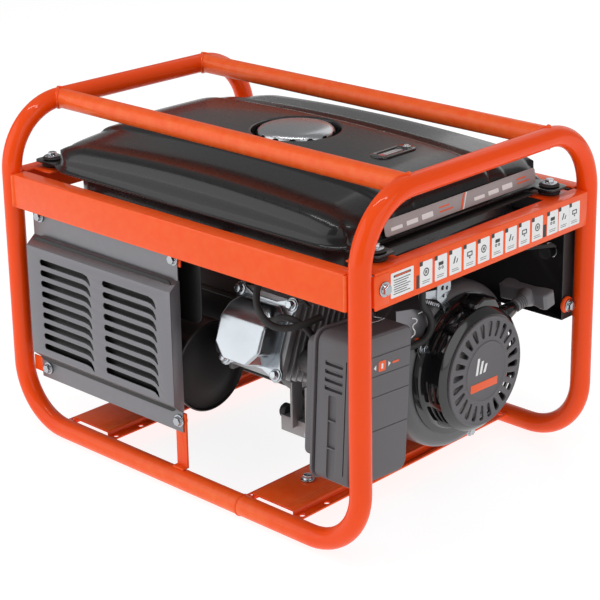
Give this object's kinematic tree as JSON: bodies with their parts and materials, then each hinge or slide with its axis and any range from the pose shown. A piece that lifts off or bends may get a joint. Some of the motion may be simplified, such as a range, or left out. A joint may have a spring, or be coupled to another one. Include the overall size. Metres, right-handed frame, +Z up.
{
  "type": "portable generator",
  "caption": "Frame-mounted portable petrol generator: tube cradle, arched tank, inclined air-cooled engine with recoil starter, alternator and socket panel.",
  "frame": {"origin": "centre of the tube frame's footprint, on the floor", "axes": "+X along the crankshaft towards the recoil starter end, +Y towards the control panel, +Z up"},
  "size_m": [0.602, 0.431, 0.4292],
  "materials": {
    "frame_paint": "gloss powder coat",
    "rubber": "matt",
    "guard_paint": "semi-gloss",
    "zinc_plate": "bright zinc plate",
    "tank_paint": "satin",
    "chrome": "polished",
    "black_plastic": "satin moulded",
    "filter_plastic": "fine grain",
    "filter_foam": "pleated paper",
    "cast_alloy": "as cast",
    "steel": "machined",
    "fan_housing_paint": "semi-gloss",
    "recoil_paint": "gloss",
    "muffler_black": "heat-proof satin",
    "copper_winding": "varnished copper and lamination",
    "panel_paint": "satin",
    "rope": "braided",
    "switch_red": "gloss"
  },
  "bodies": {
    "root": {"frame_tube_left": "frame_paint", "frame_tube_right": "frame_paint", "top_rail_front": "frame_paint", "top_rail_rear": "frame_paint", "belt_front": "frame_paint", "belt_rear": "frame_paint", "belt_left": "frame_paint", "belt_right": "frame_paint", "cross_channel_left": "frame_paint", "cross_channel_right": "frame_paint", "alternator_isolator_front": "rubber", "alternator_isolator_rear": "rubber", "engine_isolator_front": "rubber", "engine_isolator_rear": "rubber", "muffler_guard": "guard_paint", "guard_strut": "frame_paint", "guard_tab": "frame_paint", "guard_bolt_left_low": "zinc_plate", "guard_bolt_left_high": "zinc_plate", "guard_bolt_right_low": "zinc_plate", "guard_bolt_right_high": "zinc_plate", "fuel_tank": "tank_paint", "fuel_gauge": "black_plastic", "fuel_tap": "zinc_plate", "crankcase": "cast_alloy", "cylinder_head": "cast_alloy", "valve_cover": "zinc_plate", "spark_plug": "steel", "spark_plug_boot": "rubber", "fan_housing": "fan_housing_paint", "recoil_housing": "recoil_paint", "starter_rope": "rope", "carburettor": "cast_alloy", "air_filter_base": "filter_plastic", "air_filter_element": "filter_foam", "alternator_housing": "cast_alloy", "alternator_stator": "copper_winding", "alternator_end_cover": "cast_alloy", "muffler": "muffler_black", "exhaust_pipe": "steel", "control_panel": "panel_paint", "socket_right": "black_plastic", "socket_left": "black_plastic", "voltmeter": "black_plastic"},
    "crank": {"crankshaft": "steel", "flywheel": "cast_alloy", "alternator_rotor": "copper_winding"},
    "pulley": {"starter_pulley": "black_plastic"},
    "handle": {"starter_handle": "black_plastic"},
    "cap_plug": {"cap_plug": "rubber"},
    "cap_shell": {"fuel_cap": "chrome"},
    "tap_lever": {"fuel_tap_lever": "black_plastic"},
    "choke": {"choke_lever": "steel"},
    "throttle": {"throttle_lever": "zinc_plate"},
    "filter_cover": {"air_filter_cover": "filter_plastic"},
    "clip_top": {"filter_clip_top": "zinc_plate"},
    "clip_bottom": {"filter_clip_bottom": "zinc_plate"},
    "dipstick": {"oil_dipstick": "black_plastic"},
    "ignition": {"engine_switch": "switch_red"},
    "breaker": {"breaker_button": "black_plastic"}
  },
  "joints": [
    {"name": "crank_spin", "type": "hinge", "parent": "root", "child": "crank", "pos_m": [0, 0.031, 0.1525], "axis": [1, 0, 0], "continuous": true},
    {"name": "handle_pull", "type": "slide", "parent": "root", "child": "handle", "axis": [1, 0, 0], "range_m": [0, 0.5]},
    {"name": "pulley_spin", "type": "hinge", "parent": "root", "child": "pulley", "pos_m": [0, 0.031, 0.1525], "axis": [1, 0, 0], "range_deg": [-800, 0]},
    {"name": "cap_lift", "type": "slide", "parent": "root", "child": "cap_plug", "axis": [0, 0, 1], "range_m": [0, 0.06]},
    {"name": "cap_turn", "type": "hinge", "parent": "cap_plug", "child": "cap_shell", "pos_m": [0.005, 0, 0.39], "axis": [0, 0, 1], "range_deg": [0, 90]},
    {"name": "fuel_tap_turn", "type": "hinge", "parent": "root", "child": "tap_lever", "pos_m": [0.19, -0.07, 0.2945], "axis": [0, 1, 0], "range_deg": [0, 90]},
    {"name": "choke_turn", "type": "hinge", "parent": "root", "child": "choke", "pos_m": [0.19, -0.081, 0.1925], "axis": [1, 0, 0], "range_deg": [0, 40]},
    {"name": "throttle_turn", "type": "hinge", "parent": "root", "child": "throttle", "pos_m": [0.162, -0.109, 0.205], "axis": [0, 0, 1], "range_deg": [-15, 25], "stiffness_Nm_per_rad": 0.02},
    {"name": "filter_cover_off", "type": "slide", "parent": "root", "child": "filter_cover", "axis": [1, 0, 0], "range_m": [0, 0.009]},
    {"name": "clip_top_turn", "type": "hinge", "parent": "root", "child": "clip_top", "pos_m": [0.208, -0.13965, 0.25094], "axis": [0, 0.9981, -0.0611], "range_deg": [-100, 0]},
    {"name": "clip_bottom_turn", "type": "hinge", "parent": "root", "child": "clip_bottom", "pos_m": [0.208, -0.15035, 0.07606], "axis": [0, 0.9981, -0.0611], "range_deg": [0, 100]},
    {"name": "dipstick_pull", "type": "slide", "parent": "root", "child": "dipstick", "axis": [0, -1, 0], "range_m": [0, 0.045]},
    {"name": "ignition_turn", "type": "hinge", "parent": "root", "child": "ignition", "pos_m": [0.235, 0.2, 0.2459], "axis": [0, 1, 0], "range_deg": [0, 45]},
    {"name": "breaker_press", "type": "slide", "parent": "root", "child": "breaker", "axis": [0, 1, 0], "range_m": [-0.003, 0], "stiffness_N_per_m": 400}
  ],
  "couplings": [
    {"joint": "pulley_spin", "follows": "handle_pull", "rad_per_m": -27.027}
  ]
}
